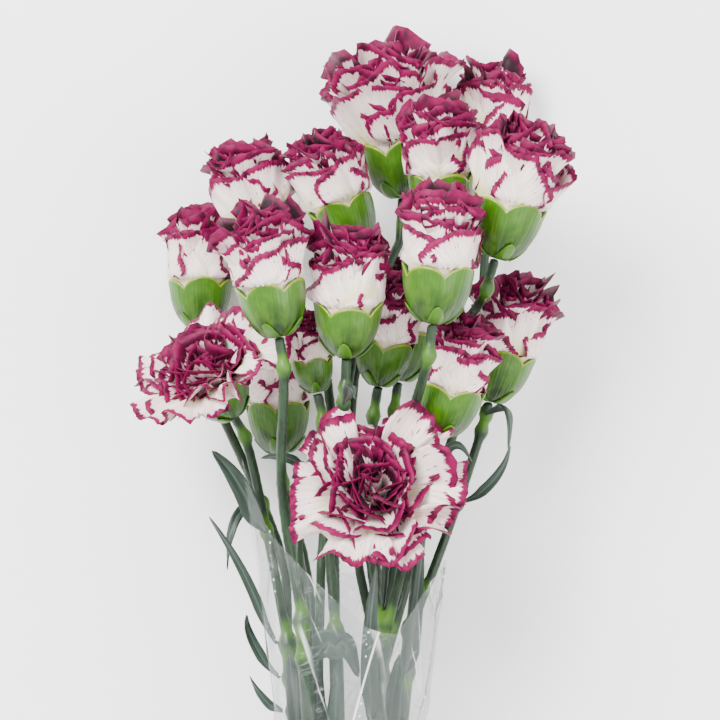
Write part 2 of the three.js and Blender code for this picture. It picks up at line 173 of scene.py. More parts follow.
def sheet_quads(rows, cols):
    """Quads of a closed thin sheet: a front grid, the back grid reversed and the four edges."""
    i, j = np.meshgrid(np.arange(rows - 1), np.arange(cols - 1), indexing="ij")
    a = (i * cols + j).ravel()
    front = np.stack([a, a + 1, a + cols + 1, a + cols], 1)
    back = front[:, ::-1] + rows * cols
    rim = np.concatenate([
        np.arange(cols - 1),
        np.arange(rows - 1) * cols + cols - 1,
        (rows - 1) * cols + np.arange(cols - 1, 0, -1),
        np.arange(rows - 1, 0, -1) * cols,
    ])
    after = np.roll(rim, -1)
    edge = np.stack([after, rim, rim + rows * cols, after + rows * cols], 1)
    return np.concatenate([front, back, edge])


def thick_sheet(grid, thickness):
    """Front and back of a grid of points, half the thickness to each side along its normal, thinner at its edge."""
    along = np.gradient(grid, axis=0)
    across = np.gradient(grid, axis=1)
    normal = unit(np.cross(across, along))
    rows, cols = grid.shape[:2]
    v = np.linspace(0, 1, rows)[:, None]
    u = np.linspace(-1, 1, cols)[None, :]
    edge = np.minimum(1, 8 * np.minimum(1 - v, 1 - np.abs(u)) + EDGE_SHARE)
    lift = normal * (thickness / 2 * edge)[..., None]
    return np.concatenate([(grid + lift).reshape(-1, 3), (grid - lift).reshape(-1, 3)])


def tube_quads(rows, cols):
    """Quads of a grid of rings, each ring joined to itself and to the next."""
    i, j = np.meshgrid(np.arange(rows - 1), np.arange(cols), indexing="ij")
    k = (j + 1) % cols
    quads = np.stack([i * cols + j, i * cols + k, (i + 1) * cols + k, (i + 1) * cols + j], -1)
    return quads.reshape(-1, 4)


class Mesh:
    """Collects points, faces and per-point values, and makes them into one piece."""

    def __init__(self):
        self.points, self.faces, self.values = [], [], {}
        self.count = 0

    def add(self, points, faces, **values):
        self.points.append(points)
        self.faces.extend(np.asarray(f) + self.count for f in faces)
        self.count += len(points)
        for key, value in values.items():
            self.values.setdefault(key, []).append(np.asarray(value, dtype=float))

    def piece(self, name, material, node_names=(), slot=None, uv=None):
        """Writes the mesh with its UV map and its other values as point attributes."""
        points = np.concatenate(self.points) * MM
        loops = np.concatenate([f.ravel() for f in self.faces])
        sizes = np.concatenate([np.full(len(f), f.shape[1]) for f in self.faces])
        mesh = bpy.data.meshes.new(name)
        mesh.vertices.add(len(points))
        mesh.vertices.foreach_set("co", points.ravel())
        mesh.loops.add(len(loops))
        mesh.loops.foreach_set("vertex_index", loops)
        mesh.polygons.add(len(sizes))
        mesh.polygons.foreach_set("loop_start", np.concatenate([[0], np.cumsum(sizes)[:-1]]))
        mesh.update(calc_edges=True)
        mesh.validate()
        mesh.shade_smooth()
        index = np.empty(len(mesh.loops), dtype=int)
        mesh.loops.foreach_get("vertex_index", index)
        for key, parts in self.values.items():
            value = np.concatenate(parts)
            if key == uv:
                layer = mesh.uv_layers.new(name=key)
                layer.uv.foreach_set("vector", value[index].ravel())
            else:
                layer = mesh.attributes.new(key, "FLOAT", "POINT")
                layer.data.foreach_set("value", value)
        piece = bpy.data.objects.new(name, mesh)
        bpy.context.scene.collection.objects.link(piece)
        mesh.materials.append(material)
        finish_piece(piece, node_names)
        return piece


def finish_piece(piece, node_names):
    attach(piece, "root")
    if node_names:
        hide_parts(*node_names)


# ---------------------------------------------------------------- nodes

def node(tree, kind, sockets=None, out=0, **settings):
    """Adds a shader node with its settings by name and its sockets' links or values by number or name. Returns the
    output of that number or name, or the node itself where out is None."""
    made = tree.nodes.new("ShaderNode" + kind)
    for key, value in settings.items():
        setattr(made, key, value)
    for key, value in (sockets or {}).items():
        if isinstance(value, bpy.types.NodeSocket):
            tree.links.new(value, made.inputs[key])
        else:
            made.inputs[key].default_value = value
    return made if out is None else made.outputs[out]


SMOOTH = {"interpolation_type": "SMOOTHSTEP"}  # settings of a MapRange that eases in and out
COLOUR = {"out": 2, "data_type": "RGBA"}  # settings of a Mix of two colours, at its inputs 6 and 7


def graded(add, colour, layers):
    """A colour under layers of others: for each, what shows it, the two values of that between which its share
    changes, the share at both, and its sRGB hex code."""
    for shows, low, high, first, last, code in layers:
        share = add("MapRange", {0: shows, 1: low, 2: high, 3: first, 4: last}, **SMOOTH)
        colour = add("Mix", {0: share, 6: colour, 7: linear(code)}, **COLOUR)
    return colour


def empty_material(name):
    """A new material with nothing in its tree, and the function that adds a node to that tree."""
    made = bpy.data.materials.new(name)
    made.use_nodes = True
    made.node_tree.nodes.clear()
    return made, partial(node, made.node_tree)


# ---------------------------------------------------------------- materials

def picotee_petal():
    """Carnation petal: a thin velvety blade, matt with a faint sheen, cream at its claw. The dye sits in the
    toothed margin and runs inwards in streaks between the veins, which are about 0.5 mm apart; inner petals
    carry more of it. On inner petals the colour is also painted towards near black away from their edge and
    further in, as painted shade of the crowded centre. The UV map holds millimetres: across the petal, and from its
    margin in."""
    made, add = empty_material("picotee_carnation_petal")
    colours = bpy.context.scene.carnation_colours
    uv = add("UVMap", uv_map="margin")
    inward = add("SeparateXYZ", {0: uv}, out="Y")
    deep = add("Attribute", out="Fac", attribute_name="deep")
    # the dye's reach: streaks 0.7 mm wide on swells 7 mm wide
    streak = add("VectorMath", {0: uv, 1: (1.5, 0.07, 1.0)}, operation="MULTIPLY")
    streak = add("TexNoise", {"Vector": streak, "Scale": 1.0, "Detail": 2.0, "Roughness": 0.6})
    swell = add("VectorMath", {0: uv, 1: (0.14, 0.04, 1.0)}, operation="MULTIPLY")
    swell = add("TexNoise", {"Vector": swell, "Scale": 1.0, "Detail": 2.0})
    reach = add("Math", {0: streak, 1: 3.4, 2: -0.75}, operation="MULTIPLY_ADD")
    reach = add("Math", {0: swell, 1: 1.6, 2: reach}, operation="MULTIPLY_ADD")
    reach = add("Math", {0: deep, 1: 2.2, 2: reach}, operation="MULTIPLY_ADD")
    reach = add("Math", {0: reach, 1: 0.9}, operation="MAXIMUM")
    over = add("Math", {0: inward, 1: reach}, operation="SUBTRACT")
    dyed = add("MapRange", {0: over, 1: -0.25, 2: 0.35, 3: 1.0, 4: 0.0}, **SMOOTH)
    # flecks of dye 0.7 mm wide and 3 mm long, fewer towards the claw
    dash = add("VectorMath", {0: uv, 1: (1.5, 0.30, 1.0)}, operation="MULTIPLY")
    dash = add("TexNoise", {"Vector": dash, "Scale": 1.0, "Detail": 1.0})
    dash = add("MapRange", {0: dash, 1: 0.68, 2: 0.72}, **SMOOTH)
    near = add("MapRange", {0: inward, 1: 4.0, 2: 14.0, 3: 0.8, 4: 0.0}, **SMOOTH)
    fleck = add("Math", {0: dash, 1: near}, operation="MULTIPLY")
    dyed = add("Math", {0: dyed, 1: fleck}, operation="MAXIMUM")
    # the undyed blade: veins 0.5 mm wide, a flush beside the dye, cream towards the claw
    vein = add("VectorMath", {0: uv, 1: (2.0, 0.06, 1.0)}, operation="MULTIPLY")
    vein = add("TexNoise", {"Vector": vein, "Scale": 1.0, "Detail": 2.0})
    blade = graded(add, (*colours.blade, 1.0), (
        (vein, 0.35, 0.75, 0.0, 0.7, "D9AEB8"),
        (over, 0.0, 3.5, 0.35, 0.0, "DB8FB0"),
        (inward, 5.0, 16.0, 0.0, 0.9, "D0D080"),
    ))
    # the dye: mottled 1.5 mm wide; on inner petals it is mixed towards near black but for its edge, which is
    # painted shade of the crowded centre
    mottle = add("VectorMath", {0: uv, 1: (0.7, 0.3, 1.0)}, operation="MULTIPLY")
    mottle = add("TexNoise", {"Vector": mottle, "Scale": 1.0, "Detail": 3.0})
    dye = graded(add, (*colours.margin, 1.0), ((mottle, 0.40, 0.70, 0.0, 1.0, "36001D"),))
    # painted shade: the share by which an inner petal's dye goes to near black away from its margin
    share = add("MapRange", {0: inward, 1: 0.2, 2: 1.8, 3: 0.15, 4: 0.95}, **SMOOTH)
    share = add("Math", {0: share, 1: deep}, operation="MULTIPLY")
    dye = add("Mix", {0: share, 6: dye, 7: linear("140009")}, **COLOUR)
    tint = add("Mix", {0: dyed, 6: blade, 7: dye}, **COLOUR)
    # painted shade: further in from the margin on inner petals the colour goes to near black, as the crowded centre
    # is in shade
    throat_painted_shade = add("MapRange", {0: inward, 1: 2.5, 2: 8.5, 3: 0.0, 4: 0.95}, **SMOOTH)
    throat_painted_shade = add("Math", {0: throat_painted_shade, 1: deep}, operation="MULTIPLY")
    tint = add("Mix", {0: throat_painted_shade, 6: tint, 7: linear("0A0005")}, **COLOUR)
    shader = add("BsdfPrincipled", {
        "Base Color": tint,
        "Normal": add("Bump", {"Height": vein, "Strength": 0.35, "Distance": 0.0003}),
        "Roughness": 0.52,
        "IOR": 1.42,
        "Sheen Weight": 0.02,
        "Specular IOR Level": 0.20,
        "Subsurface Weight": 0.05,
        "Subsurface Radius": (0.0008, 0.0004, 0.0005),
        "Subsurface Scale": 1.0,
    })
    add("OutputMaterial", {"Surface": shader}, out=None)
    return made


def waxy_calyx():
    """Carnation calyx: firm waxy green, smooth with faint ribs 1 mm apart, brighter towards the lobes and thin
    and yellow at their edge. The UV map holds millimetres round it and from the rim down."""
    made, add = empty_material("waxy_green_calyx")
    uv = add("UVMap", uv_map="rim")
    parts = add("SeparateXYZ", {0: uv}, out=None)
    down = parts.outputs["Y"]
    rib = add("Math", {0: parts.outputs["X"], 1: TURN / 1.05}, operation="MULTIPLY")
    rib = add("Math", {0: rib}, operation="SINE")
    # patches 3 to 5 mm across
    patch = add("VectorMath", {0: uv, 1: (0.35, 0.22, 1.0)}, operation="MULTIPLY")
    patch = add("TexNoise", {"Vector": patch, "Scale": 1.0, "Detail": 3.0})
    green = graded(add, linear("325E00"), (
        (down, 1.0, 13.0, 0.0, 1.0, "102800"),
        (patch, 0.35, 0.7, 0.0, 0.4, "528000"),
        (rib, 0.3, 1.0, 0.0, 0.12, "143600"),
        (down, 0.15, 0.9, 0.7, 0.0, "9AA024"),
    ))
    shader = add("BsdfPrincipled", {
        "Base Color": green,
        "Normal": add("Bump", {"Height": rib, "Strength": 0.12, "Distance": 0.0002}),
        "Roughness": 0.34,
        "IOR": 1.45,
        "Subsurface Weight": 0.03,
        "Subsurface Radius": (0.0006, 0.0010, 0.0003),
        "Subsurface Scale": 1.0,
    })
    add("OutputMaterial", {"Surface": shader}, out=None)
    return made


def bloomed_stem():
    """Carnation stem: smooth green under a thin grey wax bloom that is rubbed off in patches a few millimetres
    long, with pale swollen joints and a pale cut end."""
    made, add = empty_material("bloomed_carnation_stem")
    place = add("TexCoord", out="Object")
    joint = add("Attribute", out="Fac", attribute_name="joint")
    cut = add("Attribute", out="Fac", attribute_name="cut")
    # rubbed patches 2.4 mm wide and 14 mm long, and fibres 0.4 mm wide and 6 mm long
    patch = add("VectorMath", {0: place, 1: (420.0, 70.0, 420.0)}, operation="MULTIPLY")
    patch = add("TexNoise", {"Vector": patch, "Scale": 1.0, "Detail": 4.0, "Roughness": 0.6})
    fibre = add("VectorMath", {0: place, 1: (2400.0, 160.0, 2400.0)}, operation="MULTIPLY")
    fibre = add("TexNoise", {"Vector": fibre, "Scale": 1.0, "Detail": 2.0})
    green = graded(add, linear("0B2009"), (
        (patch, 0.35, 0.66, 0.0, 1.0, "173317"),
        (fibre, 0.45, 0.75, 0.0, 0.30, "2B442B"),
        (joint, 0.15, 0.8, 0.0, 0.85, "427006"),
        (cut, 0.3, 0.9, 0.0, 1.0, "C8D3A2"),
    ))
    rough = add("MapRange", {0: patch, 1: 0.3, 2: 0.7, 3: 0.36, 4: 0.55}, **SMOOTH)
    shader = add("BsdfPrincipled", {
        "Base Color": green,
        "Normal": add("Bump", {"Height": fibre, "Strength": 0.3, "Distance": 0.0002}),
        "Roughness": rough,
        "IOR": 1.45,
    })
    add("OutputMaterial", {"Surface": shader}, out=None)
    return made


def bloomed_leaf():
    """Carnation leaf: grey-green under a wax bloom, with veins along it 0.4 mm apart and a paler midrib. The UV
    map holds millimetres across and along the leaf."""
    made, add = empty_material("bloomed_carnation_leaf")
    uv = add("UVMap", uv_map="blade")
    across = add("SeparateXYZ", {0: uv}, out="X")
    # the midrib is where across is 0, or a whole 40 mm for each further leaf of one piece
    across = add("Math", {0: across, 1: 20.0}, operation="PINGPONG")
    vein = add("VectorMath", {0: uv, 1: (2.5, 0.05, 1.0)}, operation="MULTIPLY")
    vein = add("TexNoise", {"Vector": vein, "Scale": 1.0, "Detail": 2.0})
    patch = add("VectorMath", {0: uv, 1: (0.5, 0.12, 1.0)}, operation="MULTIPLY")
    patch = add("TexNoise", {"Vector": patch, "Scale": 1.0, "Detail": 3.0})
    green = graded(add, linear("142219"), (
        (patch, 0.35, 0.68, 0.0, 1.0, "22342A"),
        (vein, 0.4, 0.7, 0.0, 0.35, "384A3E"),
        (across, 0.1, 0.45, 0.55, 0.0, "46584B"),
    ))
    shader = add("BsdfPrincipled", {
        "Base Color": green,
        "Normal": add("Bump", {"Height": vein, "Strength": 0.4, "Distance": 0.0002}),
        "Roughness": 0.46,
        "IOR": 1.45,
    })
    add("OutputMaterial", {"Surface": shader}, out=None)
    return made


def clear_film():
    """Polypropylene sleeve film: clear and glossy, hazier where it is seen edge on, with painted white highlights
    along its creases and wrinkles, rows of pin holes 3.4 mm apart and a white heat-sealed seam down its front. The
    UV map holds millimetres round and along the sleeve."""
    made, add = empty_material("clear_polypropylene_film")
    uv = add("UVMap", uv_map="film")
    parts = add("SeparateXYZ", {0: uv}, out=None)
    x, y = parts.outputs["X"], parts.outputs["Y"]
    # creases: lines where a noise on slanted axes, 12 mm wide and 110 mm long, passes its middle, painted white and
    # more opaque as highlights
    slant = add("CombineXYZ", {
        0: add("Math", {0: y, 1: 0.55, 2: x}, operation="MULTIPLY_ADD"),
        1: add("Math", {0: x, 1: -0.35, 2: y}, operation="MULTIPLY_ADD"),
    })
    crease = add("VectorMath", {0: slant, 1: (0.085, 0.009, 1.0)}, operation="MULTIPLY")
    crease = add("TexNoise", {"Vector": crease, "Scale": 1.0, "Detail": 1.0, "Roughness": 0.4})
    line = add("Math", {0: crease, 1: 0.5}, operation="SUBTRACT")
    line = add("Math", {0: line}, operation="ABSOLUTE")
    line = add("MapRange", {0: line, 1: 0.0, 2: 0.016, 3: 0.8, 4: 0.0}, **SMOOTH)
    shown = add("VectorMath", {0: uv, 1: (0.07, 0.05, 1.0)}, operation="MULTIPLY")
    shown = add("TexNoise", {"Vector": shown, "Scale": 1.0, "Detail": 2.0})
    shown = add("MapRange", {0: shown, 1: 0.46, 2: 0.66}, **SMOOTH)
    line = add("Math", {0: line, 1: shown}, operation="MULTIPLY")
    # wrinkles 3 mm wide and 20 mm long, across the creases, painted white as fainter highlights
    wrinkle = add("VectorMath", {0: slant, 1: (0.05, 0.33, 1.0)}, operation="MULTIPLY")
    wrinkle = add("TexNoise", {"Vector": wrinkle, "Scale": 1.0, "Detail": 2.0, "Roughness": 0.5})
    fine = add("Math", {0: wrinkle, 1: 0.5}, operation="SUBTRACT")
    fine = add("Math", {0: fine}, operation="ABSOLUTE")
    fine = add("MapRange", {0: fine, 1: 0.0, 2: 0.022, 3: 0.32, 4: 0.0}, **SMOOTH)
    fine = add("Math", {0: fine, 1: shown}, operation="MULTIPLY")
    line = add("Math", {0: line, 1: fine}, operation="MAXIMUM")
    # the seam, half a millimetre wide, 95 mm round from the back
    seam = add("Math", {0: x, 1: -95.0}, operation="ADD")
    seam = add("Math", {0: y, 1: -0.26, 2: seam}, operation="MULTIPLY_ADD")
    seam = add("Math", {0: seam}, operation="ABSOLUTE")
    seam = add("MapRange", {0: seam, 1: 0.25, 2: 0.5, 3: 1.0, 4: 0.0}, **SMOOTH)
    line = add("Math", {0: line, 1: seam}, operation="MAXIMUM")
    # pin holes in double rows 34 mm apart
    hole = add("VectorMath", {0: uv, 1: (1 / 3.4, 1 / 3.4, 1.0)}, operation="MULTIPLY")
    hole = add("TexVoronoi", {"Vector": hole, "Scale": 1.0, "Randomness": 0.12}, out="Distance", feature="F1")
    hole = add("MapRange", {0: hole, 1: 0.09, 2: 0.13, 3: 1.0, 4: 0.0}, **SMOOTH)
    rows = add("Math", {0: x, 1: 6.0}, operation="ADD")
    rows = add("Math", {0: rows, 1: 17.0}, operation="PINGPONG")
    rows = add("MapRange", {0: rows, 1: 1.6, 2: 1.8, 3: 1.0, 4: 0.0}, **SMOOTH)
    hole = add("Math", {0: hole, 1: rows}, operation="MULTIPLY")
    haze = add("VectorMath", {0: slant, 1: (0.030, 0.012, 1.0)}, operation="MULTIPLY")
    haze = add("TexNoise", {"Vector": haze, "Scale": 1.0, "Detail": 2.0})
    alpha = add("MapRange", {0: haze, 1: 0.40, 2: 0.60, 3: 0.02, 4: 0.12}, **SMOOTH)
    # painted highlights: the crease and wrinkle lines, with the seam, make the film more opaque
    alpha = add("Math", {0: line, 1: 0.45, 2: alpha}, operation="MULTIPLY_ADD")
    facing = add("LayerWeight", {"Blend": 0.25}, out="Facing")
    alpha = add("Math", {0: facing, 1: 0.12, 2: alpha}, operation="MULTIPLY_ADD")
    alpha = add("Math", {0: hole, 1: 0.5, 2: alpha}, operation="MULTIPLY_ADD", use_clamp=True)
    # white over the grey film: the painted crease and wrinkle highlights, and the real seam and pin holes
    share = add("Math", {0: line, 1: hole}, operation="MAXIMUM")
    tint = add("Mix", {0: share, 6: linear("7F8A86"), 7: linear("FFFFFF")}, **COLOUR)
    shader = add("BsdfPrincipled", {
        "Base Color": tint,
        "Alpha": alpha,
        "Normal": add("Bump", {
            "Height": add("Math", {0: wrinkle, 1: 0.3, 2: crease}, operation="MULTIPLY_ADD"),
            "Strength": 0.5,
            "Distance": 0.004,
        }),
        "Roughness": 0.12,
        "IOR": 1.49,
        "Specular IOR Level": 0.9,
    })
    add("OutputMaterial", {"Surface": shader}, out=None)
    return made


def tan_rubber():
    """Natural rubber band: matt tan, cut from tube, with a fine grain 0.3 mm across."""
    made, add = empty_material("tan_natural_rubber")
    place = add("TexCoord", out="Object")
    grain = add("TexNoise", {"Vector": place, "Scale": 3000.0, "Detail": 3.0})
    tint = graded(add, linear("B98A54"), ((grain, 0.3, 0.7, 0.0, 1.0, "CBA06A"),))
    shader = add("BsdfPrincipled", {
        "Base Color": tint,
        "Normal": add("Bump", {"Height": grain, "Strength": 0.3, "Distance": 0.0001}),
        "Roughness": 0.62,
    })
    add("OutputMaterial", {"Surface": shader}, out=None)
    return made


def matt_floor():
    """Painted board: plain off-white and matt, with a faint roller texture a few millimetres across."""
    made, add = empty_material("matt_white_board")
    place = add("TexCoord", out="Object")
    roller = add("TexNoise", {"Vector": place, "Scale": 300.0, "Detail": 2.0})
    tint = add("Mix", {0: roller, 6: linear("FCFCFC"), 7: linear("FEFEFE")}, **COLOUR)
    shader = add("BsdfPrincipled", {"Base Color": tint, "Roughness": 0.9})
    add("OutputMaterial", {"Surface": shader}, out=None)
    return made


def shared(make):
    """The material that a function makes, made once."""
    made = MADE.get(make.__name__)
    if made is None:
        made = MADE[make.__name__] = make()
    return made


MADE = {}


# ---------------------------------------------------------------- flowers

class Head:
    """Where a flower is: its foot, axis, two directions across it, size, calyx radius, petal radius and top,
    measured on its CAD calyx and petals."""

    def __init__(self, name):
        calyx, calyx_tris = cad_points(name + "_calyx")
        petals, petal_tris = cad_points(name + "_petals")
        low = middle(calyx, calyx_tris)
        self.name = name
        self.axis = unit(middle(petals, petal_tris) - low)
        along = (calyx - low) @ self.axis
        self.foot = low + self.axis * along.min()
        self.size = (along.max() - along.min()) / CALYX_TOP
        self.calyx_radius = self._radius(calyx)
        self.petal_radius = self._radius(petals)
        self.top = ((petals - self.foot) @ self.axis).max()
        self.side = unit(np.cross(self.axis, [0.0, 0.0, 1.0]))
        self.up = np.cross(self.axis, self.side)
        self.number = int(name.split("_")[1])
        ratio = self.petal_radius / self.calyx_radius
        self.open = float(np.clip((ratio - 1.24) / 1.2, 0, 1))

    def _radius(self, points):
        off = points - self.foot
        return np.linalg.norm(off - np.outer(off @ self.axis, self.axis), axis=1).max()

    def place(self, local):
        """Points across, up and along the flower as points of the bunch."""
        return self.foot + local @ np.stack([self.side, self.up, self.axis])


# For each whorl from the outside in: how many petals, radius at the claw, length of the limb, half the angle
# that the limb fans over in degrees, the outward tilt in degrees at five places along it, the depth of its folds
# and how much of the dye it carries, which also sets how dark its painted centre shade is.
TILT_AT = (0.0, 0.3, 0.6, 0.85, 1.0)
BUD_WHORLS = (
    (4, 6.3, 23.0, 70, (22, 14, 2, 0, 22), 0.9, 0.0),
    (5, 4.9, 25.0, 64, (20, 12, 0, 6, 36), 1.5, 0.08),
    (7, 3.3, 26.5, 54, (10, 8, 3, 12, 42), 2.4, 0.55),
    (9, 1.6, 27.5, 46, (4, 4, 5, 12, 34), 2.7, 1.0),
)
OPEN_WHORLS = (
    (5, 5.8, 25.0, 68, (12, 26, 86, 98, 84), 2.4, 0.0),
    (5, 4.9, 22.5, 62, (10, 20, 72, 88, 76), 2.7, 0.05),
    (6, 3.8, 19.0, 56, (8, 14, 44, 56, 60), 3.0, 0.3),
    (6, 2.4, 18.0, 50, (6, 10, 24, 36, 50), 3.0, 0.65),
    (6, 1.0, 17.5, 44, (2, 6, 10, 20, 36), 3.0, 0.95),
)
PETAL_GRIDS = ((13, 68), (11, 48), (11, 36))  # points from claw to margin and across: outer, inner, small bud's
CLAW_HEIGHT = 6.5  # mm above the foot, inside the calyx
PINWHEEL = 1.1  # mm that a petal's one side lies further out than its middle
OUTER_FACE_DYE_AND_SHADE = 0.45  # share of the dye and of the painted centre shade on a petal's outer face
CALYX_WALL = 1.2  # mm from the calyx's outside to where a petal may lie


def petal(rng, rows, cols, whorl, turn, tooth, ruffle):
    """One petal as a grid of points in the flower's own directions, with its UV in millimetres.

    Laid flat it is a fan: rays from the claw at angles up to the half angle each side, each as long as the margin
    is far, so that the margin runs round the top and down both sides. The margin is rounded, a little lobed, and
    toothed: every other ray is longer by an uneven depth. The flat fan is then carried onto a surface whose middle
    line leaves the claw and tilts outwards along its length and whose rows are arcs round the flower's axis. A sum
    of four sines along the margin, deeper towards it, pushes it in and out. One side of each petal lies further
    out than the other, as in a pinwheel, so that neighbours overlap."""
    claw, length, spread, tilts, depth = whorl
    v = np.linspace(0.02, 1, rows)[:, None] ** 0.8
    u = np.linspace(-1, 1, cols)[None, :]
    angle = u * math.radians(spread)
    margin = length * (1 - 0.20 * np.abs(u) ** 2.6)
    margin = margin * (1 + 0.06 * np.sin(u * rng.uniform(3, 6) + rng.uniform(0, TURN)))
    arc = u * math.radians(spread) * length
    teeth = (np.arange(cols) % 2 - 0.5) * rng.uniform(0.35, 1.0, cols)
    ray = v * margin + teeth * tooth / MM * v ** 7
    x, y = ray * np.sin(angle), ray * np.cos(angle)
    # the middle line, at the distance of each point along the petal
    at = np.linspace(0, 1, 60)
    tilt_at = np.radians(np.interp(at, TILT_AT, tilts))
    step = length / 59
    radius_at = claw + np.concatenate([[0], np.cumsum(np.sin(tilt_at[1:]) * step)])
    height_at = np.concatenate([[0], np.cumsum(np.cos(tilt_at[1:]) * step)])
    along = y / length
    tilt = np.interp(along, at, tilt_at)
    past = np.maximum(along - 1, 0) * length
    radius = np.interp(along, at, radius_at) + past * np.sin(tilt)
    height = np.interp(along, at, height_at) + past * np.cos(tilt)
    # folds
    fold = smoothstep((v - 0.38) / 0.62) ** 1.5 * ruffle * depth
    waves = sum(
        a * np.sin(f * arc + rng.uniform(0, TURN) + rng.uniform(-1.6, 1.6) * v)
        for a, f in ((1.15, 0.26), (0.9, 0.55), (0.38, 0.95), (0.08, 1.5))
    )
    x = x + np.sin(0.55 * arc + rng.uniform(0, TURN)) * 0.55 * fold
    wrap = np.interp(np.degrees(tilt), (0, 90), (1.0, 3.0))
    bend = np.maximum(radius, 3.5) * wrap
    turn_by = np.clip(x / bend, -1.7, 1.7)
    inward = bend * (1 - np.cos(turn_by)) + waves * fold + PINWHEEL * u * smoothstep(v * 2.5)
    sideways = bend * np.sin(turn_by)
    out_dir = np.array([math.cos(turn), math.sin(turn), 0.0])
    side_dir = np.array([-math.sin(turn), math.cos(turn), 0.0])
    up_dir = np.array([0.0, 0.0, 1.0])
    normal = -np.cos(tilt)[..., None] * out_dir + np.sin(tilt)[..., None] * up_dir
    grid = (
        radius[..., None] * out_dir
        + (height + CLAW_HEIGHT)[..., None] * up_dir
        + sideways[..., None] * side_dir
        + inward[..., None] * normal
    )
    from_margin = (1 - v) * margin
    return grid, np.stack([arc + rng.uniform(0, 900) + 0 * v, from_margin + 0 * u], -1)


def whorls(head):
    """The whorls of a flower: the bud's, loosened a little where it is wider, or the open flower's."""
    if head.open > OPEN_FROM:
        for count, claw, length, spread, tilts, depth, deep in OPEN_WHORLS:
            yield count, claw, length * head.petal_radius / (23 * head.size), spread, tilts, depth, deep
        return
    tall = head.top / (36 * head.size)
    for level, (count, claw, length, spread, tilts, depth, deep) in enumerate(BUD_WHORLS):
        flare = np.array(OPEN_WHORLS[level][4], dtype=float)
        tilts = np.array(tilts) + (flare - np.array(tilts)) * head.open
        yield count, claw, length * tall, spread, tuple(tilts), depth, deep


def calyx_shape(head, share):
    """The calyx's radius at a share of its height, for a flower of size 1: a root of the share."""
    reach = head.calyx_radius / head.size
    return CALYX_FOOT + (reach - CALYX_FOOT) * np.sin(np.pi / 2 * np.clip(share, 0, 1) ** CALYX_ROOT)


def inside_calyx(head, points):
    """Points that lie below the calyx's rim, drawn in to its inner wall."""
    far = np.linalg.norm(points[:, :2], axis=1)
    room = calyx_shape(head, points[:, 2] / CALYX_TOP) - CALYX_WALL
    room = room + 60 * smoothstep((points[:, 2] - CALYX_TOP + 0.2) / 4)
    share = np.minimum(1, room / np.maximum(far, 1e-6))
    return points * np.stack([share, share, np.ones_like(share)], 1)


def make_petals(head):
    sizes = bpy.context.scene.carnation_sizes
    rng = np.random.default_rng(100 + head.number)
    mesh = Mesh()
    small = head.size < 0.8
    for level, (count, claw, length, spread, tilts, depth, deep) in enumerate(whorls(head)):
        rows, cols = PETAL_GRIDS[2 if small else int(level >= 2)]
        start = rng.uniform(0, TURN)
        for k in range(count):
            turn = start + TURN * k / count + rng.normal(0, 0.10 + 0.12 * level)
            loose = (7 if head.open > OPEN_FROM else 3.5) + 2 * level
            jitter = np.array(tilts) + rng.normal(0, loose) * np.array([0, 0.3, 0.8, 1, 1.1])
            shorter = 0.80 if level < 2 else 0.90
            one = (
                claw,
                length * rng.uniform(shorter, 1.04),
                spread * rng.uniform(0.88, 1.10),
                jitter,
                depth * rng.uniform(0.8, 1.25),
            )
            grid, uv = petal(rng, rows, cols, one, turn, sizes.tooth, sizes.ruffle)
            points = inside_calyx(head, thick_sheet(grid, sizes.petal_thickness / MM))
            points = head.place(points * head.size)
            points[:, 2] = np.maximum(points[:, 2], 0.25 + 0.02 * np.minimum(points[:, 2], 0))
            uv = np.concatenate([uv.reshape(-1, 2)] * 2)
            # each face's amount of dye and strength of painted centre shade; the outer face gets less, so the
            # painted shade shows less from outside
            dye = np.repeat([OUTER_FACE_DYE_AND_SHADE * deep, deep], rows * cols)
            mesh.add(points, [sheet_quads(rows, cols)], margin=uv, deep=dye)
    return mesh.piece(head.name + "_ruffled_petals", shared(picotee_petal),
                      [head.name + "_petals"], "petal", uv="margin")


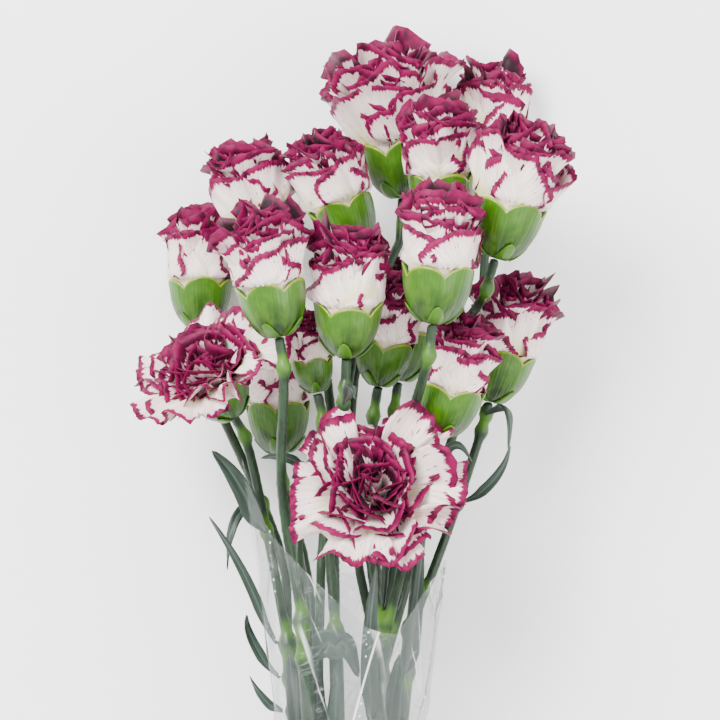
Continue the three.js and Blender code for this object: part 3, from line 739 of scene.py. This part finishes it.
def make_calyx(head):
    """A goblet: its radius rises as a root of the height, its rim stands in five rounded lobes with a narrow notch
    between, and each lobe bulges a little; the inner wall follows it down to a floor. Four scales hug its foot."""
    rng = np.random.default_rng(300 + head.number)
    mesh = Mesh()
    cols, rows, inner_rows = 100, 22, 8
    a = np.linspace(0, TURN, cols, endpoint=False)[None, :]
    t = np.linspace(0.0, 1.0, rows)[:, None]
    reach = head.calyx_radius / head.size
    shift = rng.uniform(0, TURN)
    lobe = np.abs(np.cos(2.5 * (a + shift))) ** 0.62
    rim = CALYX_TOP - 3.0 + 3.2 * lobe + 0.5 * np.sin(a * 2 + shift)
    shape = calyx_shape(head, t) + 0.35 * smoothstep((t - 0.8) / 0.2) * lobe
    radius = shape * (1 + 0.025 * (lobe - 0.6) * smoothstep(t * 2)) + 0.06 * np.cos(a * 35) * smoothstep(t * 3)
    height = rim * t
    outer = np.stack([radius * np.cos(a), radius * np.sin(a), height + 0 * a], -1)
    s = np.linspace(1.0, 0.45, inner_rows)[:, None]
    back = calyx_shape(head, s) * (1 + 0.025 * (lobe - 0.6)) - 0.7
    inner = np.stack([back * np.cos(a), back * np.sin(a), rim * s - 0.15], -1)
    points = np.concatenate([outer.reshape(-1, 3), inner.reshape(-1, 3), [[0, 0, 0], [0, 0, 6.0]]])
    total = rows + inner_rows
    ring = np.arange(cols)
    foot, floor = total * cols, total * cols + 1
    last = (total - 1) * cols
    fans = [
        np.stack([np.full(cols, foot), (ring + 1) % cols, ring], 1),
        np.stack([last + ring, last + (ring + 1) % cols, np.full(cols, floor)], 1),
    ]
    around = np.tile(np.linspace(0, TURN * reach, cols), total)
    down = np.concatenate([((rim - height).clip(0)).ravel(), np.tile(rim * 0 + 6.0, (inner_rows, 1)).ravel()])
    uv = np.stack([around, down], 1)
    uv = np.concatenate([uv, [[0, 14.0], [0, 10.0]]])
    mesh.add(head.place(points * head.size), [tube_quads(total, cols), *fans], rim=uv)
    # scales at the foot
    for k in range(4):
        turn = shift + k * TURN / 4
        v = np.linspace(0, 1, 9)[:, None]
        u = np.linspace(-1, 1, 7)[None, :]
        half = 2.1 * np.sqrt(np.clip(1 - v ** 1.5, 0, 1)) + 0.12
        z = 0.2 + SCALE_TALL * v + 0 * u
        r = calyx_shape(head, z / CALYX_TOP) + 0.35 + 0.35 * v ** 3
        angle = turn + u * half / np.maximum(r, 2.0)
        grid = np.stack([r * np.cos(angle), r * np.sin(angle), z], -1)
        pts = thick_sheet(grid, 0.45)
        uv = np.stack([0 * z + angle * 3, (1 - v) * SCALE_TALL + 1.2 + 0 * u], -1).reshape(-1, 2)
        mesh.add(head.place(pts * head.size), [sheet_quads(9, 7)], rim=np.concatenate([uv, uv]))
    return mesh.piece(head.name + "_lobed_calyx", shared(waxy_calyx), [head.name + "_calyx"], "calyx", uv="rim")


# ---------------------------------------------------------------- stems and leaves

def joints_of(points):
    """Where a stem's joints are: the places where its CAD corners crowd together."""
    left = points.copy()
    found = []
    while len(left) >= JOINT_CROWD:
        near = (np.linalg.norm(left[:, None] - left[None], axis=2) < JOINT_NEAR).sum(1)
        if near.max() < JOINT_CROWD:
            break
        seed = left[near.argmax()]
        close = np.linalg.norm(left - seed, axis=1) < JOINT_CLOSE
        centre = left[close].mean(0)
        found.append(centre)
        left = left[np.linalg.norm(left - centre, axis=1) > JOINT_APART]
    return np.array(found)


def make_stem(name):
    """The CAD stem grown a smooth skin: its copy is merged, rebuilt in voxels and relaxed, and each point keeps
    how near it is to a joint and to the cut end."""
    sizes = bpy.context.scene.carnation_sizes
    mesh = bpy.data.objects[name].data.copy()
    piece = bpy.data.objects.new(name + "_skin", mesh)
    bpy.context.scene.collection.objects.link(piece)
    edit = bmesh.new()
    edit.from_mesh(mesh)
    bmesh.ops.remove_doubles(edit, verts=edit.verts, dist=1e-6)
    edit.to_mesh(mesh)
    edit.free()
    grown = piece.modifiers.new("grow", "REMESH")
    grown.mode = "VOXEL"
    grown.voxel_size = sizes.stem_voxel
    relaxed = piece.modifiers.new("relax", "SMOOTH")
    relaxed.factor = 0.5
    relaxed.iterations = 9
    graph = bpy.context.evaluated_depsgraph_get()
    made = bpy.data.meshes.new_from_object(piece.evaluated_get(graph))
    piece.modifiers.clear()
    piece.data = made
    made.name = name + "_skin"
    made.materials.clear()
    made.materials.append(shared(bloomed_stem))
    made.shade_smooth()
    points = np.empty(len(made.vertices) * 3)
    made.vertices.foreach_get("co", points)
    points = points.reshape(-1, 3) / MM
    places = joints_of(distinct(cad_points(name)[0]))
    apart = np.linalg.norm(points[:, None] - places[None], axis=2).min(1)
    values = {
        "joint": np.exp(-((apart / 3.6) ** 2)),
        "cut": (points[:, 1] < points[:, 1].min() + 0.35).astype(float),
    }
    for key, value in values.items():
        layer = made.attributes.new(key, "FLOAT", "POINT")
        layer.data.foreach_set("value", value)
    finish_piece(piece, [name])
    return piece


def leaf_surface(line, side, width, thickness, twist=0.0):
    """A folded blade: a smooth middle line, rows across it that are widest a third of the way along and run to a
    point, and a V fold that flattens towards the tip."""
    rows, cols = LEAF_GRID
    t = np.linspace(0, 1, rows)
    knots = np.linspace(0, 1, len(line))
    centre = np.stack([smooth_through(knots, line[:, k], t) for k in range(3)], 1)
    across = unit(np.stack([np.interp(t, knots, side[:, k]) for k in range(3)], 1))
    forward = unit(np.gradient(centre, axis=0))
    across = unit(across - (across * forward).sum(1, keepdims=True) * forward)
    up = np.cross(across, forward)
    if twist:
        a = twist * t[:, None]
        across, up = across * np.cos(a) + up * np.sin(a), up * np.cos(a) - across * np.sin(a)
    u = np.linspace(-1, 1, cols)[None, :]
    half = (width / 2) * np.minimum(1, 0.25 + 2.8 * t) * np.sqrt(np.clip(1 - t ** 2.2, 0.0, 1)) + 0.10
    s = u * half[:, None]
    fold = np.abs(s) * (0.38 * (1 - 0.6 * t))[:, None]
    grid = centre[:, None] + s[..., None] * across[:, None] + fold[..., None] * up[:, None]
    length = np.linalg.norm(np.diff(centre, axis=0), axis=1).sum()
    points = thick_sheet(grid, thickness)
    uv = np.stack([s, t[:, None] * length + 0 * u], -1).reshape(-1, 2)
    return points, sheet_quads(rows, cols), np.concatenate([uv, uv])


def smooth_through(knots, values, at):
    """A cubic Hermite curve through evenly spaced values, its slopes from their neighbours."""
    slope = np.gradient(values, knots)
    k = np.clip(np.searchsorted(knots, at) - 1, 0, len(knots) - 2)
    h = knots[k + 1] - knots[k]
    x = (at - knots[k]) / h
    return (
        (2 * x ** 3 - 3 * x ** 2 + 1) * values[k]
        + (x ** 3 - 2 * x ** 2 + x) * h * slope[k]
        + (3 * x ** 2 - 2 * x ** 3) * values[k + 1]
        + (x ** 3 - x ** 2) * h * slope[k + 1]
    )


def over_surface(points, triangles):
    """The different corners of a surface and the shortest way along its edges between every two of them."""
    _, index, of = np.unique(np.round(points, 2), axis=0, return_index=True, return_inverse=True)
    corners, triangles = points[index], of.ravel()[triangles]
    ways = np.full((len(corners), len(corners)), np.inf)
    np.fill_diagonal(ways, 0)
    for k in range(3):
        a, b = triangles[:, k], triangles[:, (k + 1) % 3]
        ways[a, b] = ways[b, a] = np.linalg.norm(corners[a] - corners[b], axis=1)
    for k in range(len(corners)):
        ways = np.minimum(ways, ways[:, k:k + 1] + ways[k:k + 1])
    return corners, ways


def make_leaf(name):
    """A leaf from the nearest corner of a stem through the middles of its CAD leaf's other six sections. The
    sections are told apart by their way over the leaf's surface from its root."""
    points, ways = over_surface(*cad_points(name))
    far = np.unravel_index(ways.argmax(), ways.shape)
    ends = points[list(far)]
    stems = np.concatenate([distinct(cad_points(n)[0]) for n in STEMS])
    gap = [np.linalg.norm(stems - e, axis=1).min() for e in ends]
    root = far[0] if gap[0] < gap[1] else far[1]
    groups = np.array_split(points[np.argsort(ways[root])], 7)
    line = np.array([g.mean(0) for g in groups])
    line[0] = stems[np.linalg.norm(stems - points[root], axis=1).argmin()]
    side = []
    wide = 0.0
    for g in groups:
        gaps = np.linalg.norm(g[:, None] - g[None], axis=2)
        i, j = np.unravel_index(gaps.argmax(), gaps.shape)
        way = unit(g[i] - g[j])
        if side and way @ side[-1] < 0:
            way = -way
        elif not side and way[0] < 0:
            way = -way
        side.append(way)
        wide = max(wide, gaps.max())
    side = np.array(side)
    for _ in range(2):
        side[1:-1] = unit(side[:-2] + 2 * side[1:-1] + side[2:])
    line[-1] = line[-1] + TIP_REACH * (line[-1] - line[-2])
    mesh = Mesh()
    sizes = bpy.context.scene.carnation_sizes
    pts, quads, uv = leaf_surface(line, side, wide, sizes.leaf_thickness / MM)
    mesh.add(pts, [quads], blade=uv)
    return mesh.piece(name + "_blade", shared(bloomed_leaf), [name], "leaf", uv="blade")


# The leaves among the stems: root, arch and tip, each across, along and up as shares of the sleeve's section there
# and of its length, and the width in mm.
INNER_LEAVES = (
    ((0.30, 0.10, 0.20), (0.24, 0.45, 0.55), (0.34, 0.88, 0.70), 9.5),
    ((0.36, 0.20, 0.25), (0.16, 0.50, 0.60), (0.14, 0.86, 0.62), 8.5),
    ((0.30, 0.38, 0.62), (0.44, 0.60, 0.86), (0.62, 0.36, 0.84), 9.0),
    ((0.42, 0.30, 0.52), (0.34, 0.60, 0.80), (0.46, 0.86, 0.84), 8.0),
    ((0.24, 0.36, 0.50), (0.14, 0.62, 0.70), (0.26, 0.92, 0.66), 7.5),
    ((0.55, 0.20, 0.40), (0.62, 0.50, 0.76), (0.86, 0.66, 0.72), 8.0),
    ((0.62, 0.36, 0.50), (0.74, 0.60, 0.76), (0.80, 0.86, 0.66), 8.5),
    ((0.58, 0.44, 0.60), (0.58, 0.66, 0.84), (0.70, 0.74, 0.88), 6.5),
    ((0.50, 0.40, 0.62), (0.48, 0.62, 0.84), (0.60, 0.72, 0.84), 6.0),
    ((0.46, 0.10, 0.30), (0.42, 0.36, 0.66), (0.30, 0.56, 0.74), 9.0),
    ((0.56, 0.08, 0.28), (0.62, 0.30, 0.58), (0.74, 0.50, 0.66), 8.5),
    ((0.40, 0.16, 0.46), (0.52, 0.34, 0.72), (0.64, 0.28, 0.74), 7.5),
)
INNER_REACH = 0.34  # how far from the sleeve's middle they may lie, as a share of its width and height


def arched(root, arch, tip, count=7):
    """Points of a quadratic curve from root to tip that leans to arch, and the level way across it."""
    t = np.linspace(0, 1, count)[:, None]
    line = (1 - t) ** 2 * root + 2 * t * (1 - t) * arch + t ** 2 * tip
    across = unit(np.cross(np.gradient(line, axis=0), [0.0, 0.0, 1.0]))
    return line, across


def make_inner_leaves():
    """Blades along arches inside the sleeve. A place's share along is of the sleeve's length; its shares across and
    up are of the sleeve's own width and height there, and it is drawn in to INNER_REACH of them from the middle."""
    columns = sleeve_columns()
    level = columns[..., 1].mean(1)
    low, high = columns[..., [0, 2]].min(1), columns[..., [0, 2]].max(1)
    sizes = bpy.context.scene.carnation_sizes
    mesh = Mesh()
    for k, (*shares, width) in enumerate(INNER_LEAVES):
        places = []
        for across, along, up in shares:
            y = level[0] + along * (level[-1] - level[0])
            off = np.array([across, up]) - 0.5
            off = off * min(1, INNER_REACH / max(np.linalg.norm(off), 1e-6))
            least, most = (np.array([np.interp(y, level, side[:, i]) for i in (0, 1)]) for side in (low, high))
            x, z = least + (most - least) * (0.5 + off)
            places.append(np.array([x, y, z]))
        line, across = arched(*places)
        points, quads, uv = leaf_surface(line, across, width, sizes.leaf_thickness / MM,
                                         twist=0.5 * math.sin(2.3 * k + 1))
        mesh.add(points, [quads], blade=uv + [40.0 * k, 0])
    return mesh.piece("leaves_in_sleeve", shared(bloomed_leaf), (), "leaf", uv="blade")


# ---------------------------------------------------------------- sleeve and band

def sleeve_columns():
    """The CAD sleeve's outer wall as columns from foot to rim: an array of angle, height and point."""
    points = distinct(cad_points("sleeve")[0])
    levels, counts = np.unique(np.round(points[:, 1], 1), return_counts=True)
    rings = [y for y, c in zip(levels, counts) if c >= 40]
    columns, centres = [], []
    used = np.zeros(len(points), bool)
    for y in rings:
        pick = np.abs(points[:, 1] - y) < 0.11
        used |= pick
        ring = points[pick]
        centres.append(ring.mean(0))
        columns.append(outer_of(ring, ring.mean(0)[None]))
    low, high = centres[0], centres[-1]
    rim = points[~used]
    slope = (high - centres[-3]) / (high[1] - centres[-3][1])
    columns.append(outer_of(rim, high + (rim[:, 1:2] - high[1]) * slope * (1, 1, 0.72)))
    return np.array(columns)


def outer_of(points, centre):
    """The outer wall's points of a ring of pairs, in order round it from the back."""
    off = points - centre
    angle = np.arctan2(off[:, 0], off[:, 2])
    order = np.argsort(angle)
    ring, away = points[order], np.linalg.norm(off[order][:, [0, 2]], axis=1)
    best = None
    for start in (0, 1):
        turned, far = np.roll(ring, -start, axis=0), np.roll(away, -start)
        apart = np.linalg.norm(turned[0::2] - turned[1::2], axis=1).sum()
        outer = np.where((far[0::2] > far[1::2])[:, None], turned[0::2], turned[1::2])
        if best is None or apart < best[0]:
            best = (apart, outer)
    return best[1]


def value_noise(x, y, seed, period):
    """Smooth value noise on the plane: random heights at whole numbers, mixed by smoothstep. It repeats along x."""
    rng = np.random.default_rng(seed)
    table = rng.uniform(-1, 1, (NOISE_SIZE, NOISE_SIZE))
    xi, yi = np.floor(x).astype(int), np.floor(y).astype(int)
    fx, fy = smoothstep(x - xi), smoothstep(y - yi)
    x0, x1 = xi % period, (xi + 1) % period
    y0, y1 = yi % NOISE_SIZE, (yi + 1) % NOISE_SIZE
    low = table[x0, y0] * (1 - fx) + table[x1, y0] * fx
    high = table[x0, y1] * (1 - fx) + table[x1, y1] * fx
    return low * (1 - fy) + high * fy


def make_sleeve():
    """The film: columns of the CAD sleeve joined round it, pushed in and out by long soft folds and by sharp
    creases where a noise passes nought, deeper towards the rim, and thin all over."""
    sizes = bpy.context.scene.carnation_sizes
    columns = sleeve_columns()
    levels, count = columns.shape[:2]
    cols, rows = FILM_GRID
    a = np.arange(cols) * count / cols
    i = np.floor(a).astype(int)
    f = (a - i)[None, :, None]
    between = columns[:, i % count] * (1 - f) + columns[:, (i + 1) % count] * f
    lengths = np.linalg.norm(np.diff(between, axis=0), axis=2).mean(1)
    knots = np.concatenate([[0], np.cumsum(lengths)]) / lengths.sum()
    t = np.linspace(0, 1, rows)
    k = np.clip(np.searchsorted(knots, t, side="right") - 1, 0, levels - 2)
    g = ((t - knots[k]) / (knots[k + 1] - knots[k]))[:, None, None]
    grid = between[k] * (1 - g) + between[k + 1] * g
    # each point's level way out from its ring's middle, and its share of the way round and its height, for the
    # noises below
    across = np.diff(grid, axis=1, append=grid[:, :1])
    centre = grid.mean(1, keepdims=True)
    outward = grid - centre
    outward[..., 1] = 0
    outward = unit(outward)
    x = (np.arange(cols) / cols)[None, :] + 0 * t[:, None]
    y = grid[..., 1] / 40
    soft = value_noise(x * 9 + 0.6 * value_noise(x * 6, y, 6, 6), y * 0.5, 5, 9)
    sharp = 1 - np.abs(value_noise(x * 11, y * 1.1 + x * 6, 7, 11)) * 4
    fine = 1 - np.abs(value_noise(x * 20, y * 2.4 - x * 8, 8, 20)) * 4
    depth = sizes.film_crinkle / MM * (0.5 + 1.3 * smoothstep((t - 0.35) / 0.5))[:, None]
    push = depth * (1.2 * soft + 0.8 * np.clip(sharp, 0, 1) ** 3 + 0.35 * np.clip(fine, 0, 1) ** 3)
    grid = grid + outward * push[..., None]
    grid[..., 2] = np.maximum(grid[..., 2], 0.3)
    back = grid - outward * sizes.film_thickness / MM
    points = np.concatenate([grid.reshape(-1, 3), back.reshape(-1, 3)])
    half = rows * cols
    front_quads = tube_quads(rows, cols)
    back_quads = tube_quads(rows, cols)[:, ::-1] + half
    ring = np.arange(cols)
    after = (ring + 1) % cols
    last = (rows - 1) * cols
    foot = np.stack([after, ring, ring + half, after + half], 1)
    rim = np.stack([last + ring, last + after, last + after + half, last + ring + half], 1)
    uv = np.stack([x * FILM_ROUND, grid[..., 1]], -1).reshape(-1, 2)
    mesh = Mesh()
    mesh.add(points, [front_quads, back_quads, foot, rim], film=np.concatenate([uv, uv]))
    piece = mesh.piece("crinkled_film_sleeve", shared(clear_film), ["sleeve"], "film", uv="film")
    return piece


def make_band():
    """Three turns of a rubber ring side by side: circles of a round-cornered section round the stems."""
    low, high = np.array(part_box("rubber_band")) / MM
    centre = (low + high) / 2
    radius = (high[0] - low[0]) / 2
    mesh = Mesh()
    cols, rows = 96, 14
    a = np.linspace(0, TURN, cols, endpoint=False)
    b = np.linspace(0, TURN, rows, endpoint=False)
    thick, wide = 0.75, 0.64
    for k, shift in enumerate((-1.34, 0.0, 1.34)):
        rr = radius - thick - 0.12 * k + 0.08 * np.sin(3 * a + k)
        y = shift + 0.12 * np.sin(2 * a + 2 * k)
        round_ = np.sign(np.cos(b)) * np.abs(np.cos(b)) ** 0.7 * thick
        flat = np.sign(np.sin(b)) * np.abs(np.sin(b)) ** 0.7 * wide
        r = rr[:, None] + round_[None]
        grid = np.stack([r * np.sin(a)[:, None], y[:, None] + flat[None], r * np.cos(a)[:, None]], -1)
        points = grid.reshape(-1, 3) + centre
        i, j = np.meshgrid(np.arange(cols), np.arange(rows), indexing="ij")
        ni, nj = (i + 1) % cols, (j + 1) % rows
        quads = np.stack([i * rows + j, i * rows + nj, ni * rows + nj, ni * rows + j], -1).reshape(-1, 4)[:, ::-1]
        points[:, 2] = np.maximum(points[:, 2], 0.02)
        mesh.add(points, [quads])
    return mesh.piece("rubber_band_turns", shared(tan_rubber), ["rubber_band"], "band")


# ---------------------------------------------------------------- operators

class CARNATION_OT_petals(bpy.types.Operator):
    """Make every flower's ruffled petals"""
    bl_idname = "carnation.petals"
    bl_label = "Petals"

    def execute(self, context):
        for name in FLOWERS:
            make_petals(Head(name))
        return {"FINISHED"}


class CARNATION_OT_calyces(bpy.types.Operator):
    """Make every flower's lobed calyx"""
    bl_idname = "carnation.calyces"
    bl_label = "Calyces"

    def execute(self, context):
        for name in FLOWERS:
            make_calyx(Head(name))
        return {"FINISHED"}


class CARNATION_OT_stems(bpy.types.Operator):
    """Grow a smooth skin on the stems"""
    bl_idname = "carnation.stems"
    bl_label = "Stems"

    def execute(self, context):
        for name in STEMS:
            make_stem(name)
        return {"FINISHED"}


class CARNATION_OT_leaves(bpy.types.Operator):
    """Make the leaves along their CAD leaves"""
    bl_idname = "carnation.leaves"
    bl_label = "Leaves"

    def execute(self, context):
        for name in LEAVES:
            make_leaf(name)
        make_inner_leaves()
        return {"FINISHED"}


class CARNATION_OT_sleeve(bpy.types.Operator):
    """Make the crinkled film sleeve"""
    bl_idname = "carnation.sleeve"
    bl_label = "Film sleeve"

    def execute(self, context):
        make_sleeve()
        return {"FINISHED"}


class CARNATION_OT_band(bpy.types.Operator):
    """Make the rubber band's turns"""
    bl_idname = "carnation.band"
    bl_label = "Rubber band"

    def execute(self, context):
        make_band()
        return {"FINISHED"}


class CARNATION_OT_stage(bpy.types.Operator):
    """Make the floor, the lights and the camera"""
    bl_idname = "carnation.stage"
    bl_label = "Stage"

    def execute(self, context):
        low, high = (Vector(v) for v in CAD_BOX)
        target = Vector([a + share * b for a, share, b in zip(low, AIM, high - low)])
        mesh = bpy.data.meshes.new("floor")
        corners = [(x * FLOOR_REACH, y * FLOOR_REACH, FLOOR_LEVEL) for x, y in ((-1, -1), (1, -1), (1, 1), (-1, 1))]
        mesh.from_pydata(corners, [], [(0, 1, 2, 3)])
        floor = bpy.data.objects.new("floor", mesh)
        mesh.materials.append(shared(matt_floor))
        context.scene.collection.objects.link(floor)
        for name, place, power, wide in (
            ("key_softbox", (-0.55, 0.60, 1.10), 46.0, 0.6),
            ("fill_softbox", (0.8, -0.2, 1.0), 13.0, 0.9),
        ):
            light = bpy.data.lights.new(name, "AREA")
            light.energy = power
            light.size = wide
            lamp = bpy.data.objects.new(name, light)
            lamp.location = target + Vector(place)
            lamp.rotation_euler = (target - lamp.location).to_track_quat("-Z", "Y").to_euler()
            context.scene.collection.objects.link(lamp)
        world = bpy.data.worlds.new("studio")
        world.use_nodes = True
        world.node_tree.nodes["Background"].inputs[0].default_value = (1, 1, 1, 1)
        world.node_tree.nodes["Background"].inputs[1].default_value = WORLD_LIGHT
        context.scene.world = world
        data = bpy.data.cameras.new("camera")
        data.lens = CAMERA_LENS
        data.sensor_width = CAMERA_SENSOR
        camera = bpy.data.objects.new("camera", data)
        camera.location = (target.x, target.y, target.z + CAMERA_RISE)
        context.scene.collection.objects.link(camera)
        context.scene.camera = camera
        return {"FINISHED"}


OPERATORS = (
    CARNATION_OT_stage,
    CARNATION_OT_petals,
    CARNATION_OT_calyces,
    CARNATION_OT_stems,
    CARNATION_OT_leaves,
    CARNATION_OT_sleeve,
    CARNATION_OT_band,
)


class CARNATION_PT_panel(bpy.types.Panel):
    """Sizes, colours and pieces of the carnation bunch"""
    bl_idname = "CARNATION_PT_panel"
    bl_label = "Carnation bunch"
    bl_space_type = "VIEW_3D"
    bl_region_type = "UI"
    bl_category = "Carnations"

    def draw(self, context):
        for group in (context.scene.carnation_sizes, context.scene.carnation_colours):
            for key in group.__annotations__:
                self.layout.prop(group, key)
        for operator in OPERATORS:
            self.layout.operator(operator.bl_idname)


CLASSES = (CarnationSizes, CarnationColours, *OPERATORS, CARNATION_PT_panel)


def register():
    for cls in CLASSES:
        bpy.utils.register_class(cls)
    bpy.types.Scene.carnation_sizes = PointerProperty(type=CarnationSizes)
    bpy.types.Scene.carnation_colours = PointerProperty(type=CarnationColours)


def unregister():
    del bpy.types.Scene.carnation_colours
    del bpy.types.Scene.carnation_sizes
    for cls in reversed(CLASSES):
        bpy.utils.unregister_class(cls)


def main():
    register()
    for operator in OPERATORS:
        group, name = operator.bl_idname.split(".")
        getattr(getattr(bpy.ops, group), name)()


if __name__ == "__main__":
    main()
